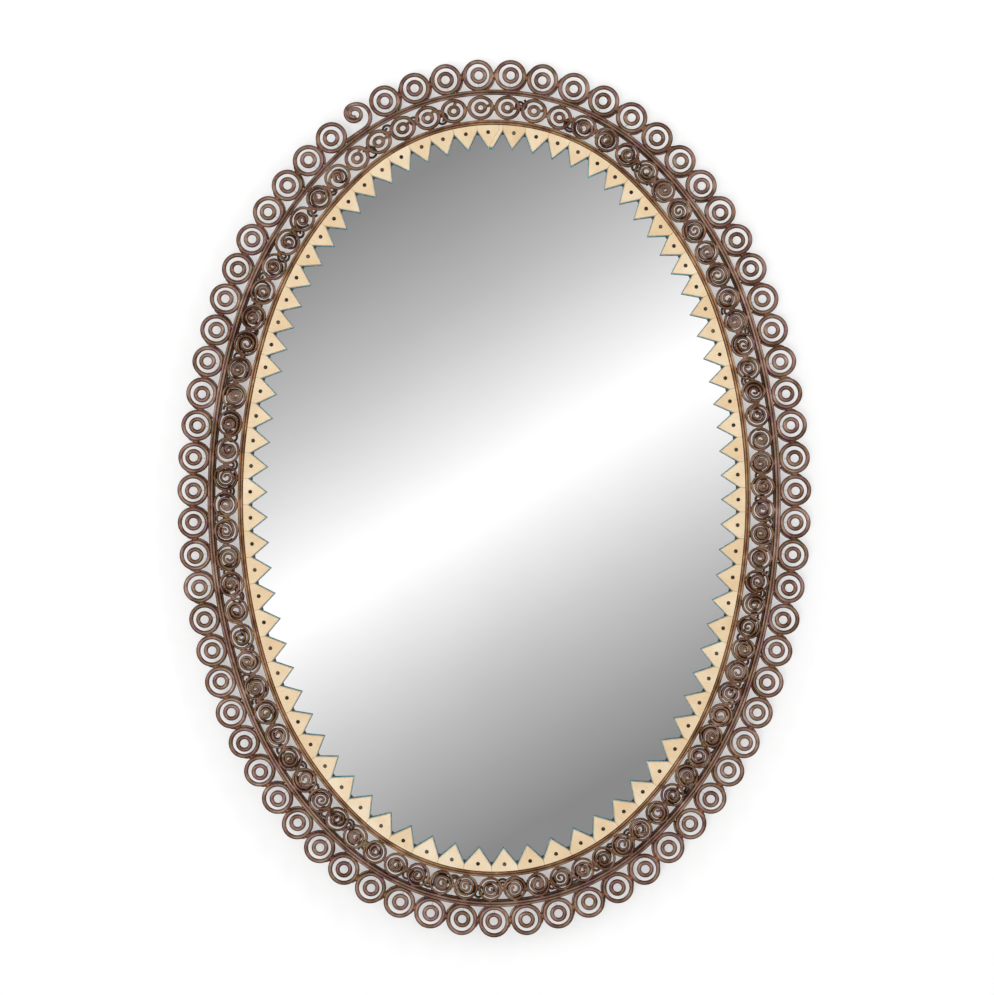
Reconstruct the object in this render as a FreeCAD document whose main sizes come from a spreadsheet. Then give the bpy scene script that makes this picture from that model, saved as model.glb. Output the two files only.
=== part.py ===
import FreeCAD, Part
import math
import os
from types import SimpleNamespace
from FreeCAD import Placement, Rotation, Vector

# Oval wall mirror: bone teeth round the glass, two rows of wire scrollwork round the teeth.
# The wall is the plane y = 0, the mirror faces -Y, +X is to the right and +Z is up.
# A depth is a distance from the wall towards the viewer, and an offset is a distance
# outwards from the oval that the bone teeth stand on.

doc = FreeCAD.newDocument("oval_mirror")

# Driving dimensions: millimetres, degrees for angles, plain numbers for shares and counts
dimensions = {
    # oval of the tooth bases: eight tangent arcs
    "half_width": 261.4,
    "half_height": 388.5,
    "end_radius_share": 0.765,
    "side_arc_angle": 18,
    "end_arc_angle": 47,
    # board and glass, stacked from the wall
    "bumper_height": 6,
    "bumper_radius": 10,
    "bumper_inset": 42,
    "bumper_chamfer": 1.2,
    "bumper_angle": 52,
    "board_thickness": 9,
    "board_clearance": 0.3,
    "glass_thickness": 4,
    "glass_clearance": 0.8,
    "rail_thickness": 3.5,
    "rail_width": 9.4,
    "rail_clearance": 0.15,
    # metal rim round board, glass and rail
    "rim_setback": 0.6,
    "rim_wall": 2,
    # twin wire hoops on both sides of the scroll row
    "inner_hoop_wire": 2.6,
    "inner_hoop_setback": 0.45,
    "outer_hoop_wire": 2.8,
    "channel_width": 25.6,
    "braze_gap": 0.12,
    # spiral scrolls between the hoops, with a straight run in their last turn
    "scroll_wire": 2.4,
    "scroll_radius": 11.35,
    "scroll_run": 2.85,
    "scroll_growth_share": 0.08,
    "scroll_widest_share": 0.86,
    "scroll_uneven_share": 0.02,
    # outer row: ring, eye inside it, stay that carries the eye, link to the next ring
    "ring_diameter": 32.9,
    "ring_wire": 4.5,
    "ring_gap": 0.8,
    "ring_tuck": 1,
    "eye_diameter": 17.6,
    "eye_wire": 4.4,
    "stay_wire": 1.2,
    "link_wire": 2.4,
    "link_sweep": 58,
    # spiral in which the wire of the outer row ends, its outer turn as large as a ring
    "end_scroll_radius": 8.6,
    "end_scroll_wire": 3,
    "end_scroll_tail": 17,
    "end_scroll_place_share": 0.9366,
    # bone teeth and their pins
    "tooth_pitch": 26.4,
    "tooth_band": 5.6,
    "tooth_length": 24,
    "tooth_thickness": 3.5,
    "tooth_joint": 0.15,
    "tooth_start_share": 0.0044,
    "closing_tooth_share": 0.15,
    "closing_flank_share": 0.95,
    "tooth_growth_share": 0.09,
    "tooth_uneven_share": 0.04,
    "pin_inset": 7.5,
    "pin_shank": 1.8,
    "pin_head": 3.8,
    "pin_head_height": 0.8,
    "pin_bite": 3,
    "pin_clearance": 0.05,
    # screws through the rim into the board, brads through it into the rail
    "rim_screw_count": 8,
    "rim_screw_shank": 3,
    "rim_screw_head": 5.6,
    "rim_screw_head_height": 1.6,
    "rim_screw_bite": 14,
    "brad_count": 12,
    "brad_shank": 1.4,
    "brad_head": 2.6,
    "brad_head_height": 0.7,
    "brad_bite": 6,
    "hole_clearance": 0.1,
    # strap hangers on the back of the board
    "hanger_reach": 150,
    "hanger_height": 170,
    "strap_thickness": 1.2,
    "strap_width": 12,
    "strap_length": 34,
    "strap_screw_shank": 3,
    "strap_screw_head": 5.6,
    "strap_screw_head_height": 1.5,
    "strap_screw_bite": 7,
    "dring_wire": 3,
    "dring_bar": 15,
    "dring_corner": 4,
    "dring_clearance": 0.08,
    # length by which cutting tools run past the stock
    "overrun": 1,
}

sheet = doc.addObject("Spreadsheet::Sheet", "Sizes")
for row, (alias, value) in enumerate(dimensions.items(), start=1):
    sheet.set(f"A{row}", alias)
    sheet.set(f"B{row}", str(value))
    sheet.setAlias(f"B{row}", alias)
doc.recompute()
size = SimpleNamespace(**{alias: float(sheet.get(alias)) for alias in dimensions})

# Shares of the largest radius, from the middle of the spiral outwards, one for each half turn
scroll_radius_shares = (0.2125, 0.339, 0.4655, 0.592, 0.7185, 0.85, 1.0)
end_scroll_radius_shares = (0.2325, 0.43, 0.628, 1.0)
# Places of the strap's two screws, as shares of the strap's length from its free end
strap_screw_shares = (0.2, 0.55)

sector_names = ("top", "upper_right", "lower_right", "bottom", "lower_left", "upper_left")
front = Vector(0, -1, 0)
quarter_turn, half_turn, full_turn = 90, 180, 360


# Oval geometry

def oval_quarter():
    """Radii and centres of the three arcs of a quarter: side, middle and end."""
    side_angle = math.radians(size.side_arc_angle)
    end_angle = math.radians(size.end_arc_angle)
    end_radius = size.end_radius_share * size.half_width
    across = size.half_width - end_radius
    along = size.half_height - end_radius
    side_rise, end_rise = 1 - math.cos(side_angle), 1 - math.cos(end_angle)
    side_sine, end_sine = math.sin(side_angle), math.sin(end_angle)
    share = side_rise * end_sine - end_rise * side_sine
    side_step = (across * end_sine - along * end_rise) / share
    middle_step = (along * side_rise - across * side_sine) / share
    middle_radius = end_radius + middle_step
    side_radius = middle_radius + side_step
    side_centre = (size.half_width - side_radius, 0)
    middle_centre = (side_centre[0] + side_step * math.cos(side_angle), side_step * side_sine)
    end_centre = (0, along)
    return (side_radius, side_centre), (middle_radius, middle_centre), (end_radius, end_centre)


def oval_arcs():
    """Arcs clockwise from the top: radius, centre, first and last angle of the normal."""
    side, middle, end = oval_quarter()
    side_angle, end_angle = size.side_arc_angle, size.end_arc_angle
    stops = (quarter_turn, end_angle, side_angle, -side_angle, -end_angle, end_angle - half_turn,
             side_angle - half_turn, -side_angle - half_turn, -end_angle - half_turn,
             quarter_turn - full_turn)
    kinds = ((end, 1, 1), (middle, 1, 1), (side, 1, 1), (middle, 1, -1), (end, 1, -1),
             (middle, -1, -1), (side, -1, 1), (middle, -1, 1), (end, 1, 1))
    arcs = []
    for ((radius, centre), mirror_x, mirror_z), first, last in zip(kinds, stops, stops[1:]):
        arcs.append((radius, (mirror_x * centre[0], mirror_z * centre[1]), first, last))
    return arcs


arcs_of_oval = oval_arcs()


def arc_point(arc, angle, offset, depth):
    radius, centre, _, _ = arc
    turned = math.radians(angle)
    reach = radius + offset
    return Vector(centre[0] + reach * math.cos(turned), -depth, centre[1] + reach * math.sin(turned))


def oval_length(offset):
    return sum((arc[0] + offset) * math.radians(arc[2] - arc[3]) for arc in arcs_of_oval)


def oval_angle(share, offset):
    """Angle of the normal at a share of the way round, clockwise from the top."""
    left = (share % 1) * oval_length(offset)
    for arc in arcs_of_oval:
        length = (arc[0] + offset) * math.radians(arc[2] - arc[3])
        if left <= length:
            return arc[2] - math.degrees(left / (arc[0] + offset))
        left -= length
    return arcs_of_oval[-1][3]


def oval_point(angle, offset, depth):
    top = arcs_of_oval[0][2]
    angle = top - (top - angle) % full_turn
    arc = [each for each in arcs_of_oval if each[3] <= angle][0]
    return arc_point(arc, angle, offset, depth)


def oval_placement(angle, offset, depth):
    """Local X runs clockwise along the oval, local Z points outwards."""
    return Placement(oval_point(angle, offset, depth), Rotation(Vector(0, 1, 0), quarter_turn - angle))


def oval_edges(offset, depth):
    edges = []
    for arc in arcs_of_oval:
        first, last = arc[2], arc[3]
        points = [arc_point(arc, angle, offset, depth) for angle in (first, (first + last) / 2, last)]
        edges.append(Part.Arc(*points).toShape())
    return edges


def sector_of(share):
    count = len(sector_names)
    return sector_names[int((share % 1) * count + 1 / 2) % count]


# Depths of the stack, and offsets of the rows

board_depth = size.bumper_height
glass_depth = board_depth + size.board_thickness
rail_depth = glass_depth + size.glass_thickness
tooth_depth = rail_depth + size.rail_thickness
wire_depth = tooth_depth + size.inner_hoop_wire / 2 + size.braze_gap
rim_outer_offset = size.rim_setback + size.rim_wall
inner_hoop_offset = size.inner_hoop_setback + size.inner_hoop_wire / 2
inner_hoop_second_offset = inner_hoop_offset + size.inner_hoop_wire + size.braze_gap
channel_offset = inner_hoop_second_offset + size.inner_hoop_wire / 2
outer_hoop_offset = channel_offset + size.channel_width + size.outer_hoop_wire / 2
outer_hoop_second_offset = outer_hoop_offset + size.outer_hoop_wire + size.braze_gap
ring_offset = (outer_hoop_second_offset + size.outer_hoop_wire / 2 - size.ring_tuck
               + size.ring_diameter / 2)
ring_radius = (size.ring_diameter - size.ring_wire) / 2


def depth_to_clear(first_wire, second_wire, beside):
    """How far behind another wire a wire just clears it, at a distance beside it."""
    apart = (first_wire + second_wire) / 2 + size.braze_gap
    return math.sqrt(max(apart ** 2 - beside ** 2, 0))


# The outer row is tucked behind the outer hoop
tuck_beside = ring_offset - ring_radius - outer_hoop_second_offset
ring_depth = wire_depth - depth_to_clear(size.ring_wire, size.outer_hoop_wire, tuck_beside)

nodes = []


def keep(part, label):
    part.Label = label
    nodes.append(part)
    return part


def keep_shape(label, shape, placement=Placement()):
    part = doc.addObject("Part::Feature", label)
    part.Shape = shape
    part.Placement = placement
    return keep(part, label)


def keep_group(label, parts):
    group = doc.addObject("Part::Compound", label)
    group.Links = parts
    return keep(group, label)


def add_primitive(kind, name, placement, **expressions):
    part = doc.addObject(kind, name)
    for key, expression in expressions.items():
        part.setExpression(key, expression)
    part.Placement = placement
    return part


def add_boolean(kind, name, base, tool):
    part = doc.addObject(kind, name)
    part.Base = base
    part.Tool = tool
    return part


def add_compound(name, shapes):
    part = doc.addObject("Part::Feature", name)
    part.Shape = Part.makeCompound(shapes)
    return part


def pipe(path, wire_diameter):
    """Round wire along a path of tangent arcs and lines."""
    wire = Part.Wire(path)
    first = wire.OrderedEdges[0]
    begin = first.valueAt(first.FirstParameter)
    heading = first.tangentAt(first.FirstParameter)
    section = Part.Wire(Part.makeCircle(wire_diameter / 2, begin, heading))
    return wire.makePipeShell([section], True, False)


# Oval plates: glass, board, rail and rim

def oval_plate(name, offsets, depth_expression, thickness_expression):
    body = doc.addObject("PartDesign::Body", name)
    plane = [origin for origin in body.Origin.OriginFeatures if origin.Role == "XZ_Plane"][0]
    sketch = body.newObject("Sketcher::SketchObject", name + "_outline")
    sketch.AttachmentSupport = (plane, [""])
    sketch.MapMode = "FlatFace"
    sketch.setExpression(".AttachmentOffset.Base.z", depth_expression)
    for offset in offsets:
        for radius, centre, first, last in arcs_of_oval:
            circle = Part.Circle(Vector(centre[0], centre[1], 0), Vector(0, 0, 1), radius + offset)
            arc = Part.ArcOfCircle(circle, math.radians(last), math.radians(first))
            sketch.addGeometry(arc, False)
    pad = body.newObject("PartDesign::Pad", name + "_pad")
    pad.Profile = sketch
    pad.setExpression("Length", thickness_expression)
    return body


def make_glass():
    edge = size.rim_setback - size.glass_clearance
    glass = oval_plate("mirror_glass", [edge], "Sizes.bumper_height + Sizes.board_thickness",
                       "Sizes.glass_thickness")
    keep(glass, "mirror_glass")


def nail(seat, inward, head, head_height, shank, length):
    """Nail or screw with a domed head: the head stands on the seat, the shank points inwards."""
    body = Part.makeCylinder(shank / 2, length, seat, inward)
    dome_radius = ((head / 2) ** 2 + head_height ** 2) / (2 * head_height)
    ball = Part.makeSphere(dome_radius, seat + inward * (dome_radius - head_height))
    disc = Part.makeCylinder(head / 2, 2 * head_height, seat, -inward)
    return body.fuse(ball.common(disc)).removeSplitter()


def even_angles(count):
    """Angles of the normal at the middles of equal shares of the way round."""
    return [oval_angle((index + 1 / 2) / count, 0) for index in range(int(count))]


def rim_nails(count, depth, head, head_height, shank, bite):
    """Nails driven inwards through the rim, and the holes that they need."""
    members = []
    holes = []
    for angle in even_angles(count):
        seat = oval_point(angle, rim_outer_offset, depth)
        inward = (oval_point(angle, 0, depth) - seat).normalize()
        members.append(nail(seat, inward, head, head_height, shank, bite))
        outside = seat - inward * size.overrun
        hole_length = size.overrun + bite + size.hole_clearance
        holes.append(Part.makeCylinder(shank / 2 + size.hole_clearance, hole_length, outside, inward))
    return members, holes


def make_rim_nails():
    screws, screw_holes = rim_nails(size.rim_screw_count, board_depth + size.board_thickness / 2,
                                    size.rim_screw_head, size.rim_screw_head_height,
                                    size.rim_screw_shank, size.rim_screw_bite)
    brads, brad_holes = rim_nails(size.brad_count, rail_depth + size.rail_thickness / 2,
                                  size.brad_head, size.brad_head_height,
                                  size.brad_shank, size.brad_bite)
    keep_shape("rim_screws", Part.makeCompound(screws))
    keep_shape("rail_brads", Part.makeCompound(brads))
    return screw_holes, brad_holes


def make_rim(screw_holes, brad_holes):
    blank = oval_plate("rim_blank", [rim_outer_offset, size.rim_setback], "Sizes.bumper_height",
                       "Sizes.board_thickness + Sizes.glass_thickness + Sizes.rail_thickness")
    tools = add_compound("rim_holes", screw_holes + brad_holes)
    keep(add_boolean("Part::Cut", "rim_band", blank, tools), "rim_band")


def make_board(screw_holes, strap_holes):
    edge = size.rim_setback - size.board_clearance
    blank = oval_plate("board_blank", [edge], "Sizes.bumper_height", "Sizes.board_thickness")
    tools = add_compound("board_holes", screw_holes + strap_holes)
    keep(add_boolean("Part::Cut", "backing_board", blank, tools), "backing_board")


def make_rail(brad_holes, pin_holes):
    edge = size.rim_setback - size.rail_clearance
    depth = "Sizes.bumper_height + Sizes.board_thickness + Sizes.glass_thickness"
    blank = oval_plate("rail_blank", [edge, edge - size.rail_width], depth, "Sizes.rail_thickness")
    tools = add_compound("rail_holes", brad_holes + pin_holes)
    keep(add_boolean("Part::Cut", "tooth_rail", blank, tools), "tooth_rail")


# Wire hoops

def make_hoops():
    hoops = (("inner_hoop_first_wire", inner_hoop_offset, size.inner_hoop_wire),
             ("inner_hoop_second_wire", inner_hoop_second_offset, size.inner_hoop_wire),
             ("outer_hoop_first_wire", outer_hoop_offset, size.outer_hoop_wire),
             ("outer_hoop_second_wire", outer_hoop_second_offset, size.outer_hoop_wire))
    for label, offset, wire_diameter in hoops:
        keep_shape(label, pipe(oval_edges(offset, wire_depth), wire_diameter))


# Spirals of half turns

def half_turns(radii, runs, sense):
    """Edges of a flat spiral in local X and Z from its middle outwards, and its last point.

    Each half turn bulges along X, to the right and to the left by turns, after its straight run.
    """
    edges = []
    place = Vector()
    side = 1
    for radius, run in zip(radii, runs):
        if run > 0:
            edges.append(Part.makeLine(place, place + Vector(side * run, 0, 0)))
            place = place + Vector(side * run, 0, 0)
        rise = side * sense * radius
        over = place + Vector(side * radius, 0, rise)
        last = place + Vector(0, 0, 2 * rise)
        edges.append(Part.Arc(place, over, last).toShape())
        place = last
        side = -side
    return edges, place


scroll_radii = [share * size.scroll_radius for share in scroll_radius_shares]
scroll_offset = channel_offset + size.channel_width / 2


def scroll_places():
    """Share of the way round and straight run of each scroll."""
    length = oval_length(scroll_offset)
    own_width = scroll_radii[-1] + scroll_radii[-2] + size.scroll_wire + size.braze_gap
    count = round(length / (own_width + size.scroll_run))
    widths = []
    for index in range(count):
        turned = 2 * math.pi * ((index + 1 / 2) / count - size.scroll_widest_share)
        uneven = size.scroll_uneven_share * math.sin(index * index)
        widths.append(1 + size.scroll_growth_share * math.cos(turned) + uneven)
    places = []
    passed = 0
    for width in widths:
        share = width / sum(widths)
        places.append((passed + share / 2, share * length - own_width))
        passed += share
    return places


def make_scrolls():
    groups = {name: [] for name in sector_names}
    for index, (share, run) in enumerate(scroll_places()):
        runs = [0] * (len(scroll_radii) - 2) + [run / 2, run]
        edges, last = half_turns(scroll_radii, runs, 1)
        middle = Vector((scroll_radii[-1] - scroll_radii[-2]) / 2, 0, last.z - scroll_radii[-1])
        to_middle = Placement(-middle, Rotation())
        turned = Placement(Vector(), Rotation(front, half_turn * (index % 2)))
        place = oval_placement(oval_angle(share, scroll_offset), scroll_offset, wire_depth)
        scroll = pipe(edges, size.scroll_wire)
        scroll.Placement = place.multiply(turned).multiply(to_middle)
        groups[sector_of(share)].append(scroll)
    print("scrolls", sum(len(members) for members in groups.values()))
    for name, members in groups.items():
        keep_shape("scrolls_" + name, Part.makeCompound(members))


# Outer row of rings

def ring_places():
    """Shares of the way round of the rings, with one place left free for the end scroll."""
    count = int(oval_length(ring_offset) // (size.ring_diameter + size.ring_gap))
    places = [(index + 1 / 2) / count for index in range(count)]
    free = places.pop(int(size.end_scroll_place_share * count))
    return places, free


def make_rings():
    shares, _ = ring_places()
    print("rings", len(shares))
    flat = Rotation(Vector(1, 0, 0), quarter_turn)
    rings = {name: [] for name in sector_names}
    eyes = {name: [] for name in sector_names}
    stays = {name: [] for name in sector_names}
    stay_depth = ring_depth - size.ring_wire / 2 - size.braze_gap - size.stay_wire / 2
    for index, share in enumerate(shares):
        angle = oval_angle(share, ring_offset)
        place = Placement(oval_point(angle, ring_offset, ring_depth), flat)
        sector = sector_of(share)
        rings[sector].append(add_primitive(
            "Part::Torus", f"ring_{index}", place,
            Radius1="(Sizes.ring_diameter - Sizes.ring_wire) / 2", Radius2="Sizes.ring_wire / 2"))
        eyes[sector].append(add_primitive(
            "Part::Torus", f"eye_{index}", place,
            Radius1="(Sizes.eye_diameter - Sizes.eye_wire) / 2", Radius2="Sizes.eye_wire / 2"))
        foot = oval_placement(angle, ring_offset - size.ring_diameter / 2, stay_depth)
        stays[sector].append(add_primitive(
            "Part::Cylinder", f"stay_{index}", foot, Radius="Sizes.stay_wire / 2",
            Height="Sizes.ring_diameter / 2 - Sizes.eye_diameter / 2 + Sizes.eye_wire"))
    for name in sector_names:
        keep_group("rings_" + name, rings[name])
        keep_group("ring_eyes_" + name, eyes[name])
        keep_group("eye_stays_" + name, stays[name])


def make_links():
    """S-shaped wires behind the rings, each over the shoulder of one and under the next."""
    shares, free = ring_places()
    groups = {name: [] for name in sector_names}
    sweep = math.radians(size.link_sweep)
    for share, following in zip(shares, shares[1:] + shares[:1]):
        if share < free < following:
            continue
        first = oval_point(oval_angle(share, ring_offset), ring_offset, ring_depth)
        second = oval_point(oval_angle(following, ring_offset), ring_offset, ring_depth)
        along = (second - first).normalize()
        outward = along.cross(front)
        reach = first.distanceToPoint(second) / 2
        behind = depth_to_clear(size.ring_wire, size.link_wire, reach - ring_radius)
        first -= front * behind
        second -= front * behind
        over = [first + along * (reach * math.cos(turn)) + outward * (reach * math.sin(turn))
                for turn in (sweep, sweep / 2, 0)]
        under = [second - along * (reach * math.cos(turn)) - outward * (reach * math.sin(turn))
                 for turn in (0, sweep / 2, sweep)]
        path = [Part.Arc(*over).toShape(), Part.Arc(*under).toShape()]
        groups[sector_of(share)].append(pipe(path, size.link_wire))
    for name, members in groups.items():
        keep_shape("ring_links_" + name, Part.makeCompound(members))


def make_end_scroll():
    """Spiral in the free place: its last half turn runs down to the hoop, its tail along the hoop."""
    _, free = ring_places()
    radii = [share * size.end_scroll_radius for share in end_scroll_radius_shares] + [ring_radius]
    edges, last = half_turns(radii, [0] * len(radii), -1)
    edges.append(Part.makeLine(last, last - Vector(size.end_scroll_tail, 0, 0)))
    depth = wire_depth - depth_to_clear(size.end_scroll_wire, size.outer_hoop_wire, tuck_beside)
    place = oval_placement(oval_angle(free, ring_offset), ring_offset, depth)
    to_row = Placement(Vector(0, 0, -ring_radius - last.z), Rotation())
    keep_shape("end_scroll", pipe(edges, size.end_scroll_wire), place.multiply(to_row))


# Bone teeth

def tooth_bounds():
    """Shares of the way round at which one tooth ends and the next begins."""
    count = round(oval_length(0) / size.tooth_pitch - size.closing_tooth_share)
    widths = []
    for index in range(count):
        round_share = (index + 1 / 2) / count
        growth = -size.tooth_growth_share * math.cos(2 * math.pi * round_share)
        uneven = size.tooth_uneven_share * math.sin(index * index)
        widths.append(1 + growth + uneven)
    widths.append(size.closing_tooth_share)
    bounds = [size.tooth_start_share]
    for width in widths:
        bounds.append(bounds[-1] + width / sum(widths))
    return bounds


def tooth_base(first, last):
    """Arc of a tooth's base between two shares of the way round, and its two valley corners."""
    joint = size.tooth_joint / 2 / oval_length(0)
    angles = [oval_angle(share, 0) for share in (first + joint, (first + last) / 2, last - joint)]
    arc = [oval_point(angle, 0, tooth_depth) for angle in angles]
    left, right = [oval_point(angle, -size.tooth_band, tooth_depth) for angle in (angles[0], angles[2])]
    return arc, left, right, angles[1]


def tooth_blank(arc, corners):
    """Flat tooth from the arc of its base and the corners after it."""
    outline = [arc[-1]] + corners + [arc[0]]
    edges = [Part.Arc(*arc).toShape()]
    edges += [Part.makeLine(start, end) for start, end in zip(outline, outline[1:])]
    return Part.Face(Part.Wire(edges)).extrude(front * size.tooth_thickness)


def make_teeth():
    bounds = tooth_bounds()
    groups = {name: [] for name in sector_names}
    pins = []
    pin_holes = []
    for first, last in zip(bounds[:-2], bounds[1:-1]):
        arc, left, right, middle = tooth_base(first, last)
        tip = oval_point(middle, -size.tooth_length, tooth_depth)
        tooth = tooth_blank(arc, [right, tip, left])
        seat = oval_point(middle, -size.pin_inset, tooth_depth + size.tooth_thickness)
        pin_length = size.tooth_thickness + size.pin_bite
        pins.append(nail(seat, -front, size.pin_head, size.pin_head_height, size.pin_shank, pin_length))
        hole_radius = size.pin_shank / 2 + size.pin_clearance
        hole_length = size.overrun + pin_length + size.pin_clearance
        hole = Part.makeCylinder(hole_radius, hole_length, seat + front * size.overrun, -front)
        pin_holes.append(hole)
        groups[sector_of((first + last) / 2)].append(tooth.cut(hole))
    print("teeth", len(pins))
    for name, members in groups.items():
        keep_shape("bone_teeth_" + name, Part.makeCompound(members))
    # The closing tooth is a strip along the flank of the last tooth
    flank = (tip - right) * size.closing_flank_share
    arc, left, right, _ = tooth_base(bounds[-2], bounds[-1])
    keep_shape("closing_tooth", tooth_blank(arc, [right, right + flank, left + flank, left]))
    keep_shape("tooth_pins", Part.makeCompound(pins))
    return pin_holes


# Back of the board: strap hangers with their rings, and bumpers

def make_bumpers():
    to_wall = Rotation(Vector(1, 0, 0), -quarter_turn)
    angles = {"upper_right": size.bumper_angle, "upper_left": half_turn - size.bumper_angle,
              "lower_right": -size.bumper_angle, "lower_left": size.bumper_angle - half_turn}
    for name, angle in angles.items():
        foot = oval_point(angle, -size.bumper_inset, board_depth)
        pad = add_primitive("Part::Cylinder", "bumper_pad_" + name, Placement(foot, to_wall),
                            Radius="Sizes.bumper_radius",
                            Height="Sizes.bumper_height - Sizes.bumper_chamfer")
        shoulder = foot - front * (size.bumper_height - size.bumper_chamfer)
        rim = add_primitive("Part::Cone", "bumper_edge_" + name, Placement(shoulder, to_wall),
                            Radius1="Sizes.bumper_radius",
                            Radius2="Sizes.bumper_radius - Sizes.bumper_chamfer",
                            Height="Sizes.bumper_chamfer")
        keep(add_boolean("Part::Fuse", "bumper_" + name, pad, rim), "bumper_" + name)


hanger_sides = {"left": -1, "right": 1}
hanger_eye = size.dring_wire / 2 + size.dring_clearance + size.strap_thickness
hanger_axis_depth = board_depth - hanger_eye


def strap_screw_seats(side):
    """Points on the strap's outer face where its screws stand."""
    free_end = side * (size.hanger_reach + size.strap_length)
    return [Vector(free_end - side * share * size.strap_length, size.strap_thickness - board_depth,
                   size.hanger_height) for share in strap_screw_shares]


def make_straps():
    screws = []
    board_holes = []
    for name, side in hanger_sides.items():
        near = side * size.hanger_reach
        low = size.hanger_height - size.strap_width / 2
        corner = Vector(min(near, near + side * size.strap_length), -board_depth, low)
        plate = add_primitive("Part::Box", name + "_strap_plate", Placement(corner, Rotation()),
                              Length="Sizes.strap_length", Width="Sizes.strap_thickness",
                              Height="Sizes.strap_width")
        axis = Placement(Vector(near, -hanger_axis_depth, low), Rotation())
        eye = add_primitive("Part::Cylinder", name + "_strap_eye", axis,
                            Radius="Sizes.dring_wire / 2 + Sizes.dring_clearance + Sizes.strap_thickness",
                            Height="Sizes.strap_width")
        blank = add_boolean("Part::Fuse", name + "_strap_blank", plate, eye)
        bore_start = Vector(near, -hanger_axis_depth, low - size.overrun)
        bore_length = size.strap_width + 2 * size.overrun
        holes = [Part.makeCylinder(size.dring_wire / 2 + size.dring_clearance, bore_length, bore_start)]
        for seat in strap_screw_seats(side):
            screws.append(nail(seat, front, size.strap_screw_head, size.strap_screw_head_height,
                               size.strap_screw_shank, size.strap_thickness + size.strap_screw_bite))
            length = size.overrun + size.strap_thickness + size.strap_screw_bite + size.hole_clearance
            hole = Part.makeCylinder(size.strap_screw_shank / 2 + size.hole_clearance, length,
                                     seat - front * size.overrun, front)
            holes.append(hole)
            board_holes.append(hole)
        tools = add_compound(name + "_strap_holes", holes)
        keep(add_boolean("Part::Cut", name + "_hanger_strap", blank, tools), name + "_hanger_strap")
    keep_shape("hanger_screws", Part.makeCompound(screws))
    return board_holes


def make_drings():
    """D-shaped wire rings: straight bar in the strap's eye, rounded bow towards the middle."""
    half_bar = size.dring_bar / 2
    corner = size.dring_corner
    bow = half_bar + corner
    slant = corner * (1 - math.cos(math.pi / 4))
    for name, side in hanger_sides.items():
        def at(reach, height):
            return Vector(side * (size.hanger_reach - reach), -hanger_axis_depth,
                          size.hanger_height + height)
        path = [Part.makeLine(at(0, -half_bar), at(0, half_bar)),
                Part.Arc(at(0, half_bar), at(slant, bow - slant), at(corner, bow)).toShape(),
                Part.Arc(at(corner, bow), at(corner + bow, 0), at(corner, -bow)).toShape(),
                Part.Arc(at(corner, -bow), at(slant, slant - bow), at(0, -half_bar)).toShape()]
        keep_shape(name + "_hanger_ring", pipe(path, size.dring_wire))


make_glass()
rim_screw_holes, rail_brad_holes = make_rim_nails()
strap_holes = make_straps()
make_drings()
make_rim(rim_screw_holes, rail_brad_holes)
make_board(rim_screw_holes, strap_holes)
make_rail(rail_brad_holes, make_teeth())
make_hoops()
make_scrolls()
make_rings()
make_links()
make_end_scroll()
make_bumpers()
doc.recompute()

for part in doc.Objects:
    if "Invalid" in part.State or "Error" in part.State:
        raise RuntimeError(f"{part.Name} failed: {part.State}")
for part in nodes:
    if part.Shape.isNull() or not part.Shape.isValid():
        raise RuntimeError(f"{part.Label} has no valid shape")

os.makedirs("parts", exist_ok=True)
for part in nodes:
    part.Shape.exportStep(f"parts/{part.Label}.step")
    print(part.Label, len(part.Shape.Solids), "solids", round(part.Shape.Volume), "mm3")
print(len(nodes), "nodes")
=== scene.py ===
import bpy, bmesh, math, random
from mathutils import Matrix, Vector


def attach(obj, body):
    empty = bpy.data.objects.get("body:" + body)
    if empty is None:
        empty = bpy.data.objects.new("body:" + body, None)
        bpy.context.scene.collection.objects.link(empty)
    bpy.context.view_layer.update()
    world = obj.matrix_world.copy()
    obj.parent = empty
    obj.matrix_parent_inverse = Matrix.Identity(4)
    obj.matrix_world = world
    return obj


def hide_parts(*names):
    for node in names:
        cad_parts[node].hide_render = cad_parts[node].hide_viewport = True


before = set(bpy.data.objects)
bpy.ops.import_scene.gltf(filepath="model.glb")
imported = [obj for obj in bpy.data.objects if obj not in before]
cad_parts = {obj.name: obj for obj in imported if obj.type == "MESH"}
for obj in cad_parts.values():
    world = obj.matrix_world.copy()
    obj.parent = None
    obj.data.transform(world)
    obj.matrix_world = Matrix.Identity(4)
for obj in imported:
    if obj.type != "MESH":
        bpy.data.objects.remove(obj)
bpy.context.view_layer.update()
print("frame loaded:", len(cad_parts), "nodes")

mm = 0.001                          # settings are in millimetres and degrees, the scene is in metres
fullTurn = 2 * math.pi
front = Vector((0, -1, 0))          # towards the viewer; the wall is y = 0
axisX, axisZ = Vector((1, 0, 0)), Vector((0, 0, 1))
axisY = Vector((0, 1, 0))           # a positive turn about it runs clockwise in the picture
topAngle = 90                       # angles on the oval are in degrees and fall clockwise
bothWays = (-1, 1)
sectorNames = ("top", "upper_right", "lower_right", "bottom", "lower_left", "upper_left")
chance = random.Random(11)

# oval on which the bone teeth stand: tangent arcs, clockwise from the top

ovalShape = {"halfWidth": 261.4, "halfHeight": 388.5, "endRadiusShare": 0.765,
             "sideAngle": 18, "endAngle": 47}


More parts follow.
